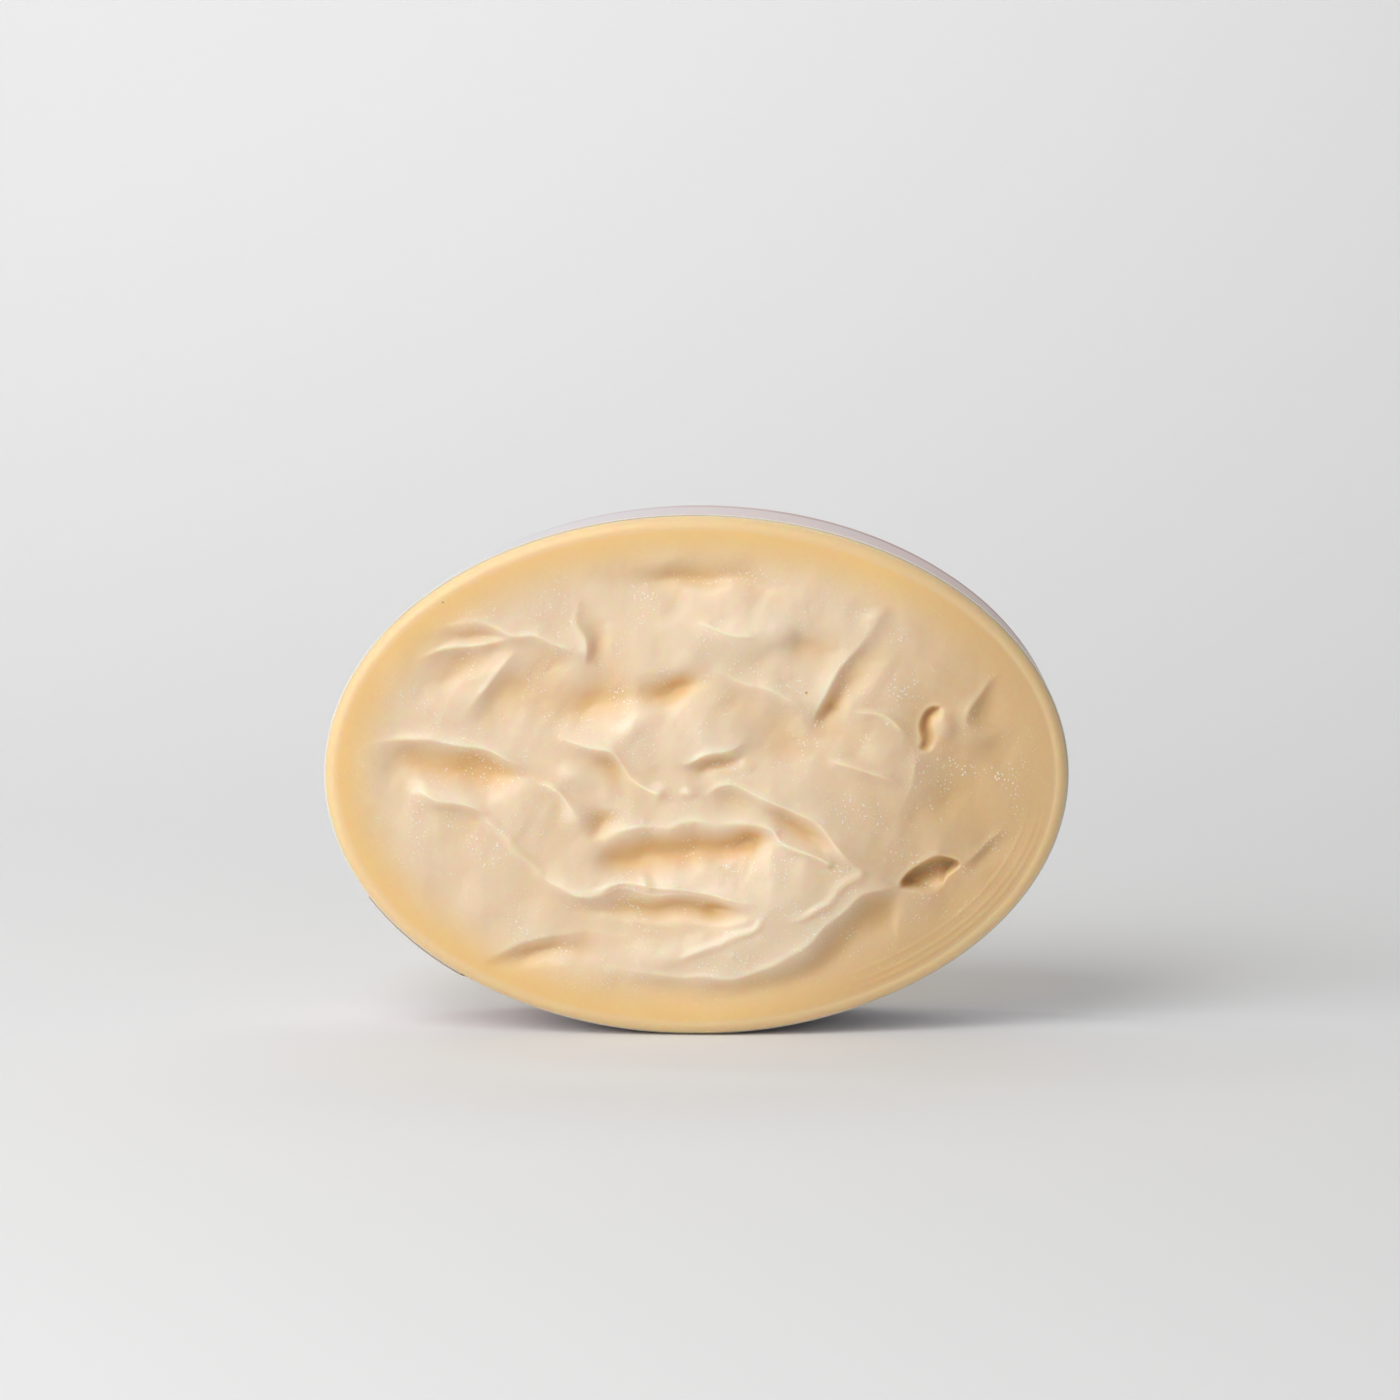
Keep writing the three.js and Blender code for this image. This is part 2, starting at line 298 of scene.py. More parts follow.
# Random ripples, each with its height, seed and size. The first two move the swirls about in x and z, the
# next two lift the swirls, and the last one roughens the face.
WOBBLE_X = (0.22, 41, 7.0)
WOBBLE_Z = (0.22, 42, 7.0)
SWIRL_RIPPLES = ((0.09, 3, 8.0), (0.03, 4, 3.6))
FACE_RIPPLE = (0.012, 5, 1.9)
RIPPLE_WAVES = 24

TINY = 1e-6


def smooth(t):
    t = np.clip(t, 0.0, 1.0)
    return t * t * (3 - 2 * t)


def ripples(x, z, height, seed, size):
    """A smooth random surface of about the given height, made of waves about size mm long."""
    rng = np.random.default_rng(seed)
    total = np.zeros_like(x)
    for _ in range(RIPPLE_WAVES):
        angle, phase = rng.uniform(0, 2 * math.pi, 2)
        length = size * rng.uniform(0.7, 1.5)
        total += np.sin(2 * math.pi * (x * math.cos(angle) + z * math.sin(angle)) / length + phase)
    return height * (total / math.sqrt(RIPPLE_WAVES / 2))


def through(points):
    """Points close together on a smooth curve through the given ones."""
    p = np.array(points, float)
    p = np.vstack([2 * p[0] - p[1], p, 2 * p[-1] - p[-2]])
    out = []
    for a, b, c, d in zip(p[:-3], p[1:-2], p[2:-1], p[3:]):
        count = max(2, int(np.linalg.norm(c - b) / CURVE_STEP))
        t = (np.arange(count) / count)[:, None]
        square = (2 * a - 5 * b + 4 * c - d) * t**2
        cube = (3 * b - a - 3 * c + d) * t**3
        out.append(0.5 * (2 * b + (c - a) * t + square + cube))
    return np.vstack([*out, p[-2:-1]])


def beside(line, fade, x, z, reach):
    """For the points within reach of a line: which they are, how far to its right they lie, and how much of
    its height the line has there."""
    curve = through(line)
    low, high = curve.min(0) - reach, curve.max(0) + reach
    near = np.flatnonzero((x > low[0]) & (x < high[0]) & (z > low[1]) & (z < high[1]))
    start, leg = curve[:-1], np.diff(curve, axis=0)
    length = np.hypot(leg[:, 0], leg[:, 1])
    travelled = np.concatenate([[0], np.cumsum(length)])
    offset_x = x[near, None] - start[None, :, 0]
    offset_z = z[near, None] - start[None, :, 1]
    share = np.clip((offset_x * leg[:, 0] + offset_z * leg[:, 1]) / length**2, 0, 1)
    gap = np.hypot(offset_x - share * leg[:, 0], offset_z - share * leg[:, 1])
    best = gap.argmin(1)
    rows = np.arange(len(near))
    right = np.sign(offset_x[rows, best] * leg[best, 1] - offset_z[rows, best] * leg[best, 0])
    along = travelled[best] + share[rows, best] * length[best]
    strength = smooth(along / fade[0]) * smooth((travelled[-1] - along) / fade[1])
    return near, right * gap[rows, best], strength


def oval(x, z, middle, size, turn):
    """Places along the two axes of an oval, in its own half lengths."""
    angle = math.radians(turn)
    across, up = x - middle[0], z - middle[1]
    u = (across * math.cos(angle) + up * math.sin(angle)) / size[0]
    v = (up * math.cos(angle) - across * math.sin(angle)) / size[1]
    return u, v


def relief(x, z):
    """How far the swirls lift the face at each point, in mm."""
    x, z = x + ripples(x, z, *WOBBLE_X), z + ripples(x, z, *WOBBLE_Z)
    lift = np.zeros_like(x)
    for wave in WAVES:
        crest, trough, back, drop, run, edge = (wave[key] for key in WAVE_KEYS)
        near, side, strength = beside(wave["line"], wave["fade"], x, z, max(back, run))
        ahead = np.maximum(side, 0)
        rise = crest * np.clip(1 + side / back, 0, 1) ** WAVE_BACK_POWER
        fall = (crest + trough) * np.exp(-((ahead / drop) ** edge)) - trough
        lift[near] += strength * np.where(side < 0, rise, fall * (1 - smooth(ahead / run)))
        lift[near] += strength * min(crest, LIP_HEIGHT) * np.exp(-((side / LIP_REACH) ** 2))
    for ridge in RIDGES:
        near, side, strength = beside(ridge["line"], ridge["fade"], x, z, 3 * ridge["reach"])
        lift[near] += strength * ridge["height"] * np.exp(-((side / ridge["reach"]) ** 2))
    for mound in MOUNDS:
        u, v = oval(x, z, mound["middle"], mound["size"], mound["turn"])
        lift += mound["height"] * np.exp(-(u**2 + v**2))
    for pit in PITS:
        u, v = oval(x, z, pit["middle"], pit["size"], pit["turn"])
        floor = 1 - pit["tilt"] * smooth(0.5 - 0.5 * v)
        lift -= pit["depth"] * floor * smooth((1 - np.hypot(u, v)) / pit["wall"])
    lift *= SWIRL_HEIGHT
    for ripple in SWIRL_RIPPLES:
        lift += ripples(x, z, *ripple)
    return lift


def hollowness(x, z):
    """How far each point lies below the mean height of the swirls around it, in mm."""
    ticks = [np.arange(-half - 1, half + 1, GRID_STEP) for half in (HALF_LENGTH, HALF_HEIGHT)]
    grid_x, grid_z = np.meshgrid(*ticks, indexing="ij")
    height = relief(grid_x.ravel(), grid_z.ravel()).reshape(grid_x.shape)
    away = np.arange(-3 * HOLLOW_REACH, 3 * HOLLOW_REACH + GRID_STEP, GRID_STEP)
    bell = np.exp(-((away / HOLLOW_REACH) ** 2))
    mean = height
    for axis in (0, 1):
        mean = np.apply_along_axis(np.convolve, axis, mean, bell / bell.sum(), "same")
    hollow = mean - height
    column = (x - ticks[0][0]) / GRID_STEP
    row = (z - ticks[1][0]) / GRID_STEP
    i = np.clip(column.astype(int), 0, len(ticks[0]) - 2)
    j = np.clip(row.astype(int), 0, len(ticks[1]) - 2)
    right, up = column - i, row - j
    low = hollow[i, j] * (1 - right) + hollow[i + 1, j] * right
    high = hollow[i, j + 1] * (1 - right) + hollow[i + 1, j + 1] * right
    return low * (1 - up) + high * up


def inset(x, z):
    """About how far inside the oval outline each point lies, in mm."""
    share = np.sqrt((x / HALF_LENGTH) ** 2 + (z / HALF_HEIGHT) ** 2)
    slope = np.sqrt((x / HALF_LENGTH**2) ** 2 + (z / HALF_HEIGHT**2) ** 2) / np.maximum(share, TINY)
    return (1 - share) / np.maximum(slope, TINY)


def rim_depth(x, z):
    """How far the flat rim, or its plane further in, lies behind the front of the bar's box, in mm."""
    direction = math.radians(FALL_DIRECTION)
    along = x * math.cos(direction) + z * math.sin(direction)
    return RIM_DEPTH + FALL_DEPTH * smooth((along - FALL_START) / (FALL_END - FALL_START))


def mould_lines(x, z, inside):
    """The heights in mm of the fine lines that the mould's edge left along the lower right rim."""
    angle = np.degrees(np.arctan2(-z * HALF_LENGTH / HALF_HEIGHT, x))
    start, fade_in = MOULD_LINES_IN
    end, fade_out = MOULD_LINES_OUT
    present = smooth((angle - start) / fade_in) * smooth((end + fade_out - angle) / fade_out)
    lines = sum(np.exp(-(((inside - place) / MOULD_LINE_REACH) ** 2)) for place in MOULD_LINES)
    return MOULD_LINE_HEIGHT * present * lines


def face_depth(x, z):
    """How far the poured face lies behind the front of the bar's box, in mm."""
    inside = inset(x, z) - FRONT_FILLET
    swirled = smooth(inside / SLOPE_WIDTH)
    lift = relief(x, z) + ripples(x, z, *FACE_RIPPLE)
    depth = rim_depth(x, z) + swirled * (DISH_DEPTH - lift) - mould_lines(x, z, inside)
    eased = EASING_DEPTH * np.exp(np.minimum(depth / EASING_DEPTH, 2) - 2) * 2
    return np.where(depth < 2 * EASING_DEPTH, eased, depth)


# ---------------------------------------------------------------- meshes


def new_mesh(name, points_mm, faces, material):
    mesh = bpy.data.meshes.new(name)
    mesh.from_pydata((np.asarray(points_mm) * MM).tolist(), [], faces)
    mesh.shade_smooth()
    mesh.materials.append(material)
    piece = bpy.data.objects.new(name, mesh)
    bpy.context.scene.collection.objects.link(piece)
    return piece


def add_attribute(piece, name, values):
    attribute = piece.data.attributes.new(name, "FLOAT", "POINT")
    attribute.data.foreach_set("value", np.asarray(values, np.float32))


def ring_faces(rings, corners):
    """Quads between neighbouring closed rings of points, which all have the same number of corners."""
    index = np.arange(rings * corners).reshape(rings, corners)
    index = np.hstack([index, index[:, :1]])
    a, b = index[:-1, :-1], index[:-1, 1:]
    c, d = index[1:, 1:], index[1:, :-1]
    return np.stack([a, b, c, d], -1).reshape(-1, 4)


def bar_rings():
    """The bar's points, ring by ring, from near the middle of the poured face round the edge to the back."""
    angle = 2 * math.pi * (np.arange(CORNERS) + 0.5) / CORNERS
    sine, cosine = np.sin(angle), np.cos(angle)
    rings = []

    def ring(half_length, half_height, depth_at):
        x, z = half_length * sine, half_height * cosine
        rings.append(np.stack([x, np.broadcast_to(depth_at(x, z), x.shape), z], -1))

    def edge_ring(step_in, y):
        ring(HALF_LENGTH - step_in, HALF_HEIGHT - step_in, lambda x, z: y)

    def flat_ring(share, step_in, depth_at):
        ring(share * (HALF_LENGTH - step_in), share * (HALF_HEIGHT - step_in), depth_at)

    for i in range(1, FACE_RINGS + 1):
        flat_ring(i / FACE_RINGS, FRONT_FILLET, lambda x, z: FRONT + face_depth(x, z))
    rim = FRONT + rim_depth((HALF_LENGTH - FRONT_FILLET) * sine, (HALF_HEIGHT - FRONT_FILLET) * cosine)
    for i in range(1, FRONT_FILLET_RINGS + 1):
        turn = math.pi / 2 * i / FRONT_FILLET_RINGS
        edge_ring(FRONT_FILLET * (1 - math.sin(turn)), rim + FRONT_FILLET * (1 - math.cos(turn)))
    wall_start, wall_end = rim + FRONT_FILLET, BACK - BACK_FILLET
    for i in range(1, WALL_RINGS + 1):
        edge_ring(0, wall_start + (wall_end - wall_start) * i / WALL_RINGS)
    for i in range(1, BACK_FILLET_RINGS + 1):
        turn = math.pi / 2 * i / BACK_FILLET_RINGS
        edge_ring(BACK_FILLET * (1 - math.cos(turn)), BACK - BACK_FILLET * (1 - math.sin(turn)))
    for i in range(1, BACK_RINGS):
        share = 1 - i / BACK_RINGS
        y = BACK - BACK_SINK * smooth((1 - share) / BACK_SINK_SHARE)
        flat_ring(share, BACK_FILLET, lambda x, z: y)
    return rings


def make_bar(material):
    """The bar as one closed mesh, with the attributes that its material reads."""
    rings = bar_rings()
    points = np.vstack(rings)
    front_middle, back_middle = len(points), len(points) + 1
    depth = face_depth(np.zeros(1), np.zeros(1))
    points = np.vstack([points, [[0, FRONT + depth[0], 0]], [[0, BACK - BACK_SINK, 0]]])
    points[:, 2] += MIDDLE_Z
    faces = ring_faces(len(rings), CORNERS).tolist()
    last = (len(rings) - 1) * CORNERS
    for k in range(CORNERS):
        after = (k + 1) % CORNERS
        faces.append((front_middle, after, k))
        faces.append((back_middle, last + k, last + after))
    bar = new_mesh("soap_bar", points, faces, material)

    x, z = points[:, 0], points[:, 2] - MIDDLE_Z
    inside = inset(x, z) - FRONT_FILLET
    face = (points[:, 1] < FRONT + FACE_LIMIT) & (inside > 0)
    swirled = smooth(inside / SLOPE_WIDTH)
    fallen = (rim_depth(x, z) - RIM_DEPTH) / FALL_DEPTH
    hollow = hollowness(x, z) - COLOUR_FROM_RELIEF * relief(x, z)
    add_attribute(bar, "swirled", np.where(face, smooth((inside - CREAM_START) / CREAM_WIDTH), 0))
    # sunk carries painted shade: amber in the hollows and on the side where the face falls back.
    add_attribute(bar, "sunk", np.where(face, SHADE_FROM_FALL * fallen + swirled * hollow, 0))
    # fallen darkens the side where the face falls back, as painted shade.
    add_attribute(bar, "fallen", np.where(face, fallen, 0))
    add_attribute(bar, "rounded", np.where(face, smooth(1 - inside / PALE_RIM_WIDTH), 1))
    return bar


def outline(turn, offset):
    """The point of the bar's oval at turn radians from the top towards +X, moved outwards by offset mm."""
    out_x, out_z = np.sin(turn) / HALF_LENGTH, np.cos(turn) / HALF_HEIGHT
    length = np.hypot(out_x, out_z)
    x = HALF_LENGTH * np.sin(turn) + offset * out_x / length
    z = HALF_HEIGHT * np.cos(turn) + offset * out_z / length
    return x, z + MIDDLE_Z


def make_strip(name, turn, offset, thickness, front, back, material):
    """A closed thin strip that follows the outline. turn has a value for each step along it, in radians, and
    so do front and back, the places of its two long edges there. offset has one for each step or for all."""
    steps = len(turn)
    share = np.linspace(0, 1, STRIP_ROWS)[None, :]
    y = front[:, None] + (back - front)[:, None] * share
    turn = np.broadcast_to(turn[:, None], y.shape)
    offset = np.broadcast_to(offset, steps)[:, None]
    level = offset + ripples(turn * WAVE_ARC, y, *PAPER_WAVES)
    skins = []
    for height in (level, level + thickness):
        x, z = outline(turn, height)
        skins.append(np.stack([x, y, z], -1))
    inner, outer = skins
    loops = np.concatenate([inner, outer[:, ::-1]], 1)
    corners = 2 * STRIP_ROWS
    faces = ring_faces(steps, corners).tolist()
    last = (steps - 1) * corners
    for a in range(STRIP_ROWS - 1):
        b, c, d = a + 1, corners - 2 - a, corners - 1 - a
        faces.append((d, c, b, a))
        faces.append((last + a, last + b, last + c, last + d))
    strip = new_mesh(name, loops.reshape(-1, 3), faces, material)
    strip.data.set_sharp_from_angle(angle=math.radians(SHARP_ANGLE))
    from_front, from_back = y - front[:, None], back[:, None] - y
    both_sides = {"from_front": from_front, "from_back": from_back, "turned": np.degrees(turn)}
    for attribute, values in both_sides.items():
        add_attribute(strip, attribute, np.concatenate([values, values[:, ::-1]], 1).reshape(-1))
    outside = np.concatenate([np.zeros_like(y), np.ones_like(y)], 1)
    add_attribute(strip, "outside", outside.reshape(-1))
    return strip


def edge_ripples(turn, ripple):
    """How far a strip's edge wanders at each step along it."""
    along = turn * EDGE_ARC
    return ripples(along, along * 0, *ripple)


def make_band(material):
    """One strip of paper: it lies on the bar for a whole turn, and its end steps up over its own beginning.
    Its front edge follows the rim."""
    start, whole = math.radians(SEAM_START), 2 * math.pi
    turn = np.linspace(start, start + whole + math.radians(SEAM_OVERLAP), BAND_STEPS)
    step_up = smooth((turn - start - whole) / math.radians(SEAM_RISE) + 1)
    offset = PAPER_GAP + step_up * (PAPER_THICKNESS + FILM_THICKNESS + 2 * FILM_GAP)
    rim = FRONT + rim_depth(HALF_LENGTH * np.sin(turn), HALF_HEIGHT * np.cos(turn))
    front_setback = PAPER_SETBACK * (1 + edge_ripples(turn, PAPER_FRONT_WANDER))
    back_setback = PAPER_SETBACK * (1 + edge_ripples(turn, PAPER_BACK_WANDER))
    front = rim + FRONT_FILLET + BAND_BEHIND_RIM + front_setback
    back = BAND_HIGH.y - back_setback
    return make_strip("printed_band", turn, offset, PAPER_THICKNESS, front, back, material)


def make_glue(material):
    """The film of glue between the two plies of the overlap, with edges that wander as spread glue does."""
    start = math.radians(SEAM_START + FILM_MARGIN)
    end = math.radians(SEAM_START + SEAM_OVERLAP - FILM_MARGIN)
    turn = np.linspace(start, end, FILM_STEPS)
    front = BAND_LOW.y + FILM_SETBACK + edge_ripples(turn, FILM_FRONT_WANDER)
    back = BAND_HIGH.y - FILM_SETBACK + edge_ripples(turn, FILM_BACK_WANDER)
    offset = PAPER_GAP + PAPER_THICKNESS + FILM_GAP
    return make_strip("glue_film", turn, offset, FILM_THICKNESS, front, back, material)


# ---------------------------------------------------------------- materials

HONEY = ((0.87, 0.60, 0.25), (0.86, 0.62, 0.30))
CREAM = ((0.84, 0.66, 0.45), (0.85, 0.68, 0.49))
CREST = (0.90, 0.77, 0.60)
# Painted shade: amber for the hollows.
SHADED_HOLLOW = (0.83, 0.53, 0.24)
# Painted shade: a darker brown for the side where the face falls back.
SHADED_FALLEN_SIDE = (0.68, 0.49, 0.27)
# A paler colour for the rounded rim edge.
PALE_RIM_EDGE = (0.83, 0.70, 0.54)
PALE_GRAIN = (0.95, 0.90, 0.82)
WHITE_FLECK = (0.97, 0.95, 0.92)
BROWN_DIRT = (0.30, 0.16, 0.08)

LILAC = (0.69, 0.68, 0.71)
BLUSH = (0.83, 0.67, 0.64)
COOL_LILAC = (0.70, 0.68, 0.74)
ROSE_LINE = (0.56, 0.38, 0.35)
PLAIN_PAPER = (0.76, 0.74, 0.71)
CUT_EDGE = (0.82, 0.80, 0.77)
PALE_FIBRE = (0.85, 0.83, 0.82)

GLUE = ((0.74, 0.66, 0.48), (0.84, 0.79, 0.64))

# How far from the band's back edge the rose line starts and ends, each with where it is full, in mm.
ROSE_LINE_START = (0.3, 0.6)
ROSE_LINE_END = (4.6, 3.8)


def new_material(name):
    material = bpy.data.materials.new(name)
    material.use_nodes = True
    return material, material.node_tree.nodes["Principled BSDF"]


class Graph:
    """The nodes of one material, with short ways to add the kinds that are used again and again."""

    def __init__(self, name):
        self.material, self.shader = new_material(name)
        self.tree = self.material.node_tree
        self.place = self.add("ShaderNodeTexCoord", {}).outputs["Object"]

    def add(self, kind, inputs, **settings):
        """A new node whose inputs, by number or name, are set to values or linked to other nodes' outputs."""
        node = self.tree.nodes.new(kind)
        for name, value in settings.items():
            setattr(node, name, value)
        for key, value in inputs.items():
            if isinstance(value, bpy.types.NodeSocket):
                self.tree.links.new(value, node.inputs[key])
            else:
                node.inputs[key].default_value = value
        return node

    def set_shader(self, **values):
        """Sets or links the shader's own inputs, which are named here with _ for each space."""
        for name, value in values.items():
            socket = self.shader.inputs[name.replace("_", " ")]
            if isinstance(value, bpy.types.NodeSocket):
                self.tree.links.new(value, socket)
            else:
                socket.default_value = value

    def attribute(self, name):
        return self.add("ShaderNodeAttribute", {}, attribute_name=name).outputs["Fac"]

    def noise(self, size_mm, detail=2.0, roughness=0.5):
        """Soft noise from 0 to 1 whose features are about size_mm long."""
        scale = 1 / (size_mm * MM)
        inputs = {"Vector": self.place, "Scale": scale, "Detail": detail, "Roughness": roughness}
        return self.add("ShaderNodeTexNoise", inputs).outputs["Fac"]

    def cells(self, size_mm):
        """The distance to the nearest of many points that lie about size_mm apart, in that unit."""
        inputs = {"Vector": self.place, "Scale": 1 / (size_mm * MM)}
        return self.add("ShaderNodeTexVoronoi", inputs).outputs["Distance"]

    def remap(self, value, low, high, to_low=0.0, to_high=1.0):
        inputs = {0: value, 1: low, 2: high, 3: to_low, 4: to_high}
        return self.add("ShaderNodeMapRange", inputs).outputs[0]

    def math(self, operation, a, b):
        return self.add("ShaderNodeMath", {0: a, 1: b}, operation=operation).outputs[0]

    def multiply(self, a, b):
        return self.math("MULTIPLY", a, b)

    def blend(self, share, a, b):
        """One colour turned into another by a share from 0 to 1. Each is a colour or a node's output."""
        a, b = ((*colour, 1) if isinstance(colour, tuple) else colour for colour in (a, b))
        return self.add("ShaderNodeMix", {0: share, 6: a, 7: b}, data_type="RGBA").outputs[2]

    def bump(self, layers):
        """Bumps of (height, distance in mm), one on top of the other."""
        normal = None
        for height, distance in layers:
            inputs = {"Height": height, "Distance": distance * MM}
            if normal is not None:
                inputs["Normal"] = normal
            normal = self.add("ShaderNodeBump", inputs).outputs[0]
        self.set_shader(Normal=normal)


def soap_material():
    """Waxy, slightly translucent soap: honey at the moulded rim and cream in the swirled middle, which is
    paler on the crests and strewn with fine white flecks. The hollows, and the right side where the face
    falls back, are painted in amber shade, and the rounded rim edge is paler."""
    graph = Graph("soap")
    swirled, sunk = graph.attribute("swirled"), graph.attribute("sunk")
    cloud = graph.noise(14.0)
    colour = graph.blend(swirled, graph.blend(cloud, *HONEY), graph.blend(cloud, *CREAM))
    colour = graph.blend(graph.remap(sunk, 0.0, -1.0, 0.0, 0.9), colour, CREST)
    # Painted shade: amber in the hollows, and on the side where the face falls back.
    colour = graph.blend(graph.remap(sunk, 0.05, 1.4, 0.0, 0.95), colour, SHADED_HOLLOW)
    # Painted shade: darker still on the side where the face falls back.
    colour = graph.blend(graph.multiply(graph.attribute("fallen"), 0.7), colour, SHADED_FALLEN_SIDE)
    # The rounded rim edge is paler.
    colour = graph.blend(graph.multiply(graph.attribute("rounded"), 0.3), colour, PALE_RIM_EDGE)
    grain = graph.noise(0.5, 3.0, 0.6)
    colour = graph.blend(graph.remap(grain, 0.58, 0.80, 0.0, 0.10), colour, PALE_GRAIN)
    patch = graph.remap(graph.noise(5.0, 3.0, 0.6), 0.48, 0.60)
    fleck = graph.remap(graph.cells(0.5), 0.28, 0.16)
    flecks = graph.multiply(graph.multiply(fleck, patch), swirled)
    colour = graph.blend(graph.multiply(flecks, 0.65), colour, WHITE_FLECK)
    dirt = graph.remap(graph.cells(9.0), 0.022, 0.012)
    colour = graph.blend(graph.multiply(dirt, 0.6), colour, BROWN_DIRT)
    graph.set_shader(
        Base_Color=colour,
        Roughness=graph.remap(graph.noise(3.0, 3.0), 0.3, 0.7, 0.36, 0.50),
        IOR=1.46,
        Subsurface_Weight=graph.remap(flecks, 0.0, 1.0, 1.0, 0.1),
        Subsurface_Radius=(1.0, 0.34, 0.11),
        Subsurface_Scale=0.0024,
        Coat_Weight=0.12,
        Coat_Roughness=0.30,
    )
    graph.bump([(graph.noise(1.6, 3.0, 0.6), 0.05), (grain, 0.02), (flecks, 0.03)])
    return graph.material


def paper_material():
    """Thin uncoated paper. Its outer side is printed in a soft wash that turns twice from lilac to blush on
    its way round the bar, and is darker in a rose line along the back edge. Its inner side and cut edges are
    plain."""
    graph = Graph("printed_paper")
    waves = graph.math("SINE", graph.multiply(graph.attribute("turned"), math.radians(2)), 0.0)
    cloud = graph.remap(graph.noise(20.0), 0.3, 0.7, -0.3, 0.3)
    wash = graph.math("ADD", graph.remap(waves, -1.0, 1.0), cloud)
    colour = graph.blend(wash, LILAC, BLUSH)
    colour = graph.blend(graph.remap(graph.noise(7.0, 3.0), 0.45, 0.75, 0.0, 0.30), colour, COOL_LILAC)
    from_back = graph.attribute("from_back")
    line = graph.multiply(graph.remap(from_back, *ROSE_LINE_START), graph.remap(from_back, *ROSE_LINE_END))
    fibres = graph.noise(0.18, 4.0, 0.7)
    line = graph.multiply(line, graph.remap(fibres, 0.30, 0.50, 0.55, 1.0))
    colour = graph.blend(graph.multiply(line, wash), colour, ROSE_LINE)
    colour = graph.blend(graph.attribute("outside"), PLAIN_PAPER, colour)
    cut = graph.remap(graph.math("MINIMUM", graph.attribute("from_front"), from_back), 0.10, 0.03)
    colour = graph.blend(graph.multiply(cut, 0.8), colour, CUT_EDGE)
    colour = graph.blend(graph.remap(fibres, 0.45, 0.75, 0.0, 0.25), colour, PALE_FIBRE)
    graph.set_shader(Base_Color=colour, Roughness=graph.remap(fibres, 0.3, 0.7, 0.62, 0.80))
    graph.bump([(graph.noise(2.5), 0.03), (fibres, 0.015)])
    return graph.material


def glue_material():
    """A dried film of clear glue, faintly yellow."""
    graph = Graph("dried_glue")
    colour = graph.blend(graph.noise(2.0, 3.0), *GLUE)
    roughness = graph.remap(graph.noise(1.0), 0.3, 0.7, 0.22, 0.45)
    graph.set_shader(Base_Color=colour, Roughness=roughness, Transmission_Weight=0.3)
    graph.bump([(graph.noise(0.8, 3.0), 0.02)])
    return graph.material


def stage_material():
    material, shader = new_material("stage")
    shader.inputs["Base Color"].default_value = (0.80, 0.80, 0.80, 1)
    shader.inputs["Roughness"].default_value = 0.9
    shader.inputs["Specular IOR Level"].default_value = 0.2
    return material


# ---------------------------------------------------------------- the object

bar = make_bar(soap_material())
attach(bar, "puck")
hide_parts("soap_puck")

band = make_band(paper_material())
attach(band, "band")
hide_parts("paper_band")

glue = make_glue(glue_material())
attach(glue, "band")
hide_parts("band_glue")

# ---------------------------------------------------------------- stage, light and camera, in mm and degrees

FLOOR_Z = MIDDLE_Z - HALF_HEIGHT - PAPER_GAP - PAPER_THICKNESS - 2 * PAPER_WAVE
FLOOR_FRONT = -2000.0
STAGE_HALF_WIDTH = 3000.0
BEND_START = 200.0
BEND_RADIUS = 900.0
BEND_STEPS = 32
BACKDROP_TOP = 2500.0

CAMERA_AZIMUTH = 1.9
CAMERA_ELEVATION = 6.6
CAMERA_DISTANCE = 529.0
CAMERA_LENS = 113.0
CAMERA_AIM = (0.6, 0, 9.5)

# Each softbox has a name, a place, a width and a height, a power in watts and the point that it faces.
BAR_MIDDLE = (0, 0, MIDDLE_Z)
LIGHTS = [
    ("key_high", (-225, -390, 568), (350, 350), 1.64, BAR_MIDDLE),
    ("key_low", (-317, -549, 328), (350, 350), 1.10, BAR_MIDDLE),
    ("side", (-549, -317, 328), (350, 350), 1.30, BAR_MIDDLE),
    ("floor_light", (0, 600, 700), (900, 300), 1.28, (0, 500, 0)),
    ("backdrop_left", (-500, 300, 700), (300, 300), 1.6, (-100, 1100, 300)),
    ("backdrop_middle", (0, 300, 900), (900, 300), 0.9, (0, 1100, 400)),
]
WORLD_STRENGTH = 0.28


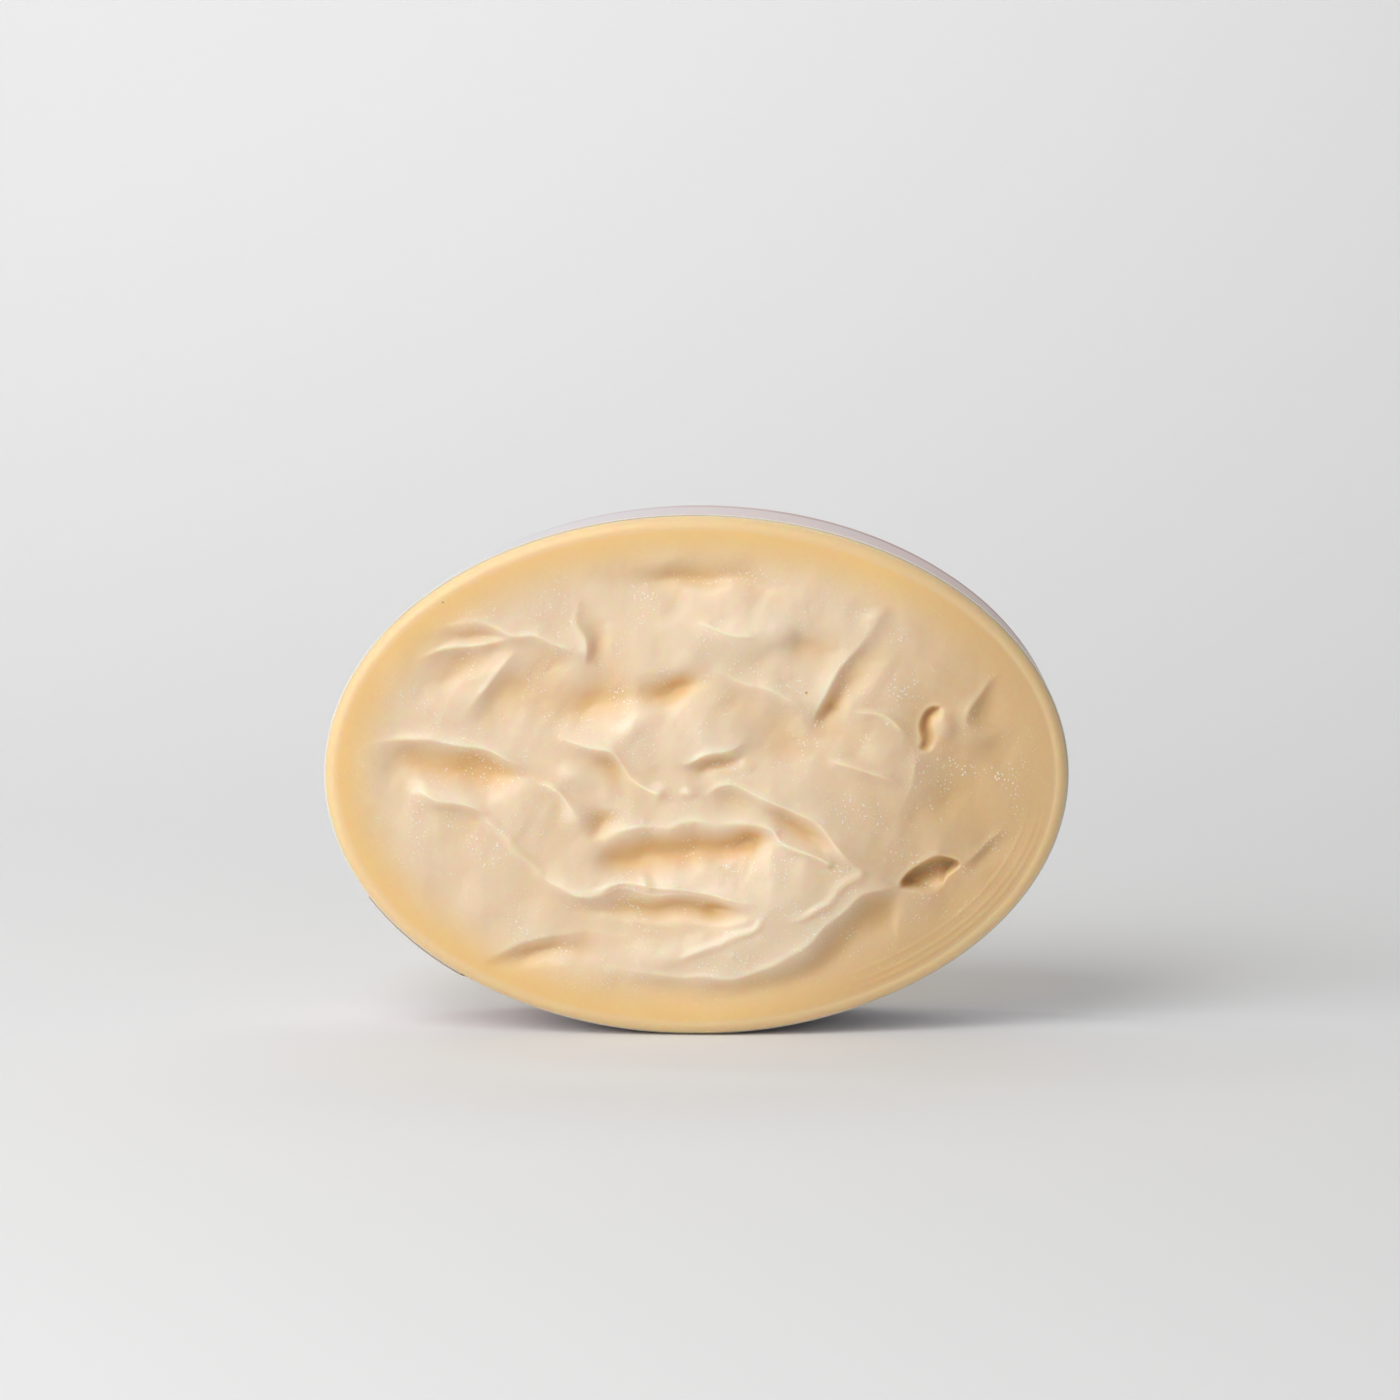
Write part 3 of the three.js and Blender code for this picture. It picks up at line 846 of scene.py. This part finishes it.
def make_stage(material):
    """A pale floor that curves up into a backdrop."""
    profile = [(FLOOR_FRONT, 0.0), (BEND_START, 0.0)]
    for i in range(1, BEND_STEPS + 1):
        turn = math.pi / 2 * i / BEND_STEPS
        profile.append((BEND_START + BEND_RADIUS * math.sin(turn), BEND_RADIUS * (1 - math.cos(turn))))
    profile.append((BEND_START + BEND_RADIUS, BACKDROP_TOP))
    points = []
    for y, z in profile:
        points.append((-STAGE_HALF_WIDTH, y, z + FLOOR_Z))
        points.append((STAGE_HALF_WIDTH, y, z + FLOOR_Z))
    faces = [(2 * i, 2 * i + 1, 2 * i + 3, 2 * i + 2) for i in range(len(profile) - 1)]
    stage = new_mesh("stage", points, faces, material)


def make_light(name, place, size, power, target):
    data = bpy.data.lights.new(name, "AREA")
    data.shape = "RECTANGLE"
    data.size, data.size_y = (side * MM for side in size)
    data.energy = power
    light = bpy.data.objects.new(name, data)
    light.location = Vector(place) * MM
    light.rotation_euler = (Vector(target) - Vector(place)).to_track_quat("-Z", "Y").to_euler()
    bpy.context.scene.collection.objects.link(light)


def make_camera():
    """The view of the photograph: a long lens, a little above and to the right of the face's middle."""
    azimuth, elevation = math.radians(CAMERA_AZIMUTH), math.radians(CAMERA_ELEVATION)
    sideways, forwards = math.sin(azimuth) * math.cos(elevation), math.cos(azimuth) * math.cos(elevation)
    face_middle = Vector((0, FRONT, MIDDLE_Z))
    data = bpy.data.cameras.new("camera")
    data.lens = CAMERA_LENS
    data.sensor_width = 36.0
    data.clip_start, data.clip_end = 0.01, 20
    camera = bpy.data.objects.new("camera", data)
    away = Vector((sideways, -forwards, math.sin(elevation)))
    camera.location = (face_middle + away * CAMERA_DISTANCE) * MM
    aim = (face_middle + Vector(CAMERA_AIM)) * MM - camera.location
    camera.rotation_euler = aim.to_track_quat("-Z", "Y").to_euler()
    bpy.context.scene.collection.objects.link(camera)
    bpy.context.scene.camera = camera


def make_world():
    world = bpy.data.worlds.new("world")
    world.use_nodes = True
    background = world.node_tree.nodes["Background"]
    background.inputs["Color"].default_value = (1, 1, 1, 1)
    background.inputs["Strength"].default_value = WORLD_STRENGTH
    bpy.context.scene.world = world


make_stage(stage_material())
for light in LIGHTS:
    make_light(*light)
make_camera()
make_world()
bpy.context.scene.view_settings.view_transform = "Standard"
